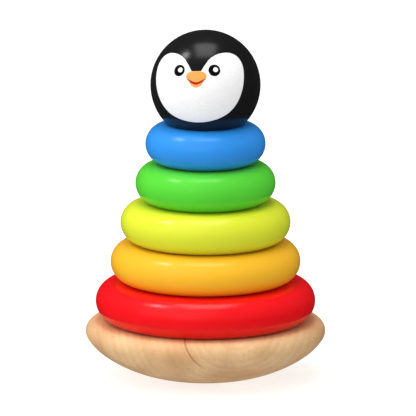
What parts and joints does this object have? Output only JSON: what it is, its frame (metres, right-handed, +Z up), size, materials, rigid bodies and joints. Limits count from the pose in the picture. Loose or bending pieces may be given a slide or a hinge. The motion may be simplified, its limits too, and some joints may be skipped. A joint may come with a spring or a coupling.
{
  "type": "stacking ring toy",
  "caption": "Wooden stacking toy: round painted rings of falling size on a peg over a rounded rocking base, topped by a removable ball head with a penguin face.",
  "frame": {"origin": "centre of the foot, at the bottom of the base", "axes": "+Z up along the peg, the toy's axis of revolution; the face looks along -Y, turned a little towards -X"},
  "size_m": [0.12, 0.12, 0.1755],
  "materials": {
    "base_wood": "bare pale beech, sanded, clear satin oil",
    "peg_wood": "bare birch dowel, sanded",
    "screw_steel": "zinc plated",
    "red_lacquer": "wood under gloss red lacquer",
    "orange_lacquer": "wood under gloss amber orange lacquer",
    "yellow_lacquer": "wood under gloss lemon yellow lacquer",
    "green_lacquer": "wood under gloss green lacquer",
    "blue_lacquer": "wood under gloss sky blue lacquer",
    "black_lacquer": "wood under gloss black lacquer",
    "white_paint": "thin printed white paint on the head, gloss",
    "beak_paint": "thin printed orange paint on the head, gloss",
    "mouth_paint": "thin printed dark red paint on the head, gloss",
    "eye_paint": "thin printed black paint on the head, gloss"
  },
  "bodies": {
    "base": {"rocking_base": "base_wood", "peg": "peg_wood", "peg_screw": "screw_steel"},
    "red": {"ring_red": "red_lacquer"},
    "orange": {"ring_orange": "orange_lacquer"},
    "yellow": {"ring_yellow": "yellow_lacquer"},
    "green": {"ring_green": "green_lacquer"},
    "blue": {"ring_blue": "blue_lacquer"},
    "head": {"penguin_head": "black_lacquer"}
  },
  "joints": [
    {"name": "red_lift", "type": "slide", "parent": "base", "child": "red", "axis": [0, 0, 1], "range_m": [0, 0.13]},
    {"name": "orange_lift", "type": "slide", "parent": "red", "child": "orange", "axis": [0, 0, 1], "range_m": [0, 0.11]},
    {"name": "yellow_lift", "type": "slide", "parent": "orange", "child": "yellow", "axis": [0, 0, 1], "range_m": [0, 0.09]},
    {"name": "green_lift", "type": "slide", "parent": "yellow", "child": "green", "axis": [0, 0, 1], "range_m": [0, 0.07]},
    {"name": "blue_lift", "type": "slide", "parent": "green", "child": "blue", "axis": [0, 0, 1], "range_m": [0, 0.05]},
    {"name": "head_lift", "type": "slide", "parent": "blue", "child": "head", "axis": [0, 0, 1], "range_m": [0, 0.03]}
  ]
}
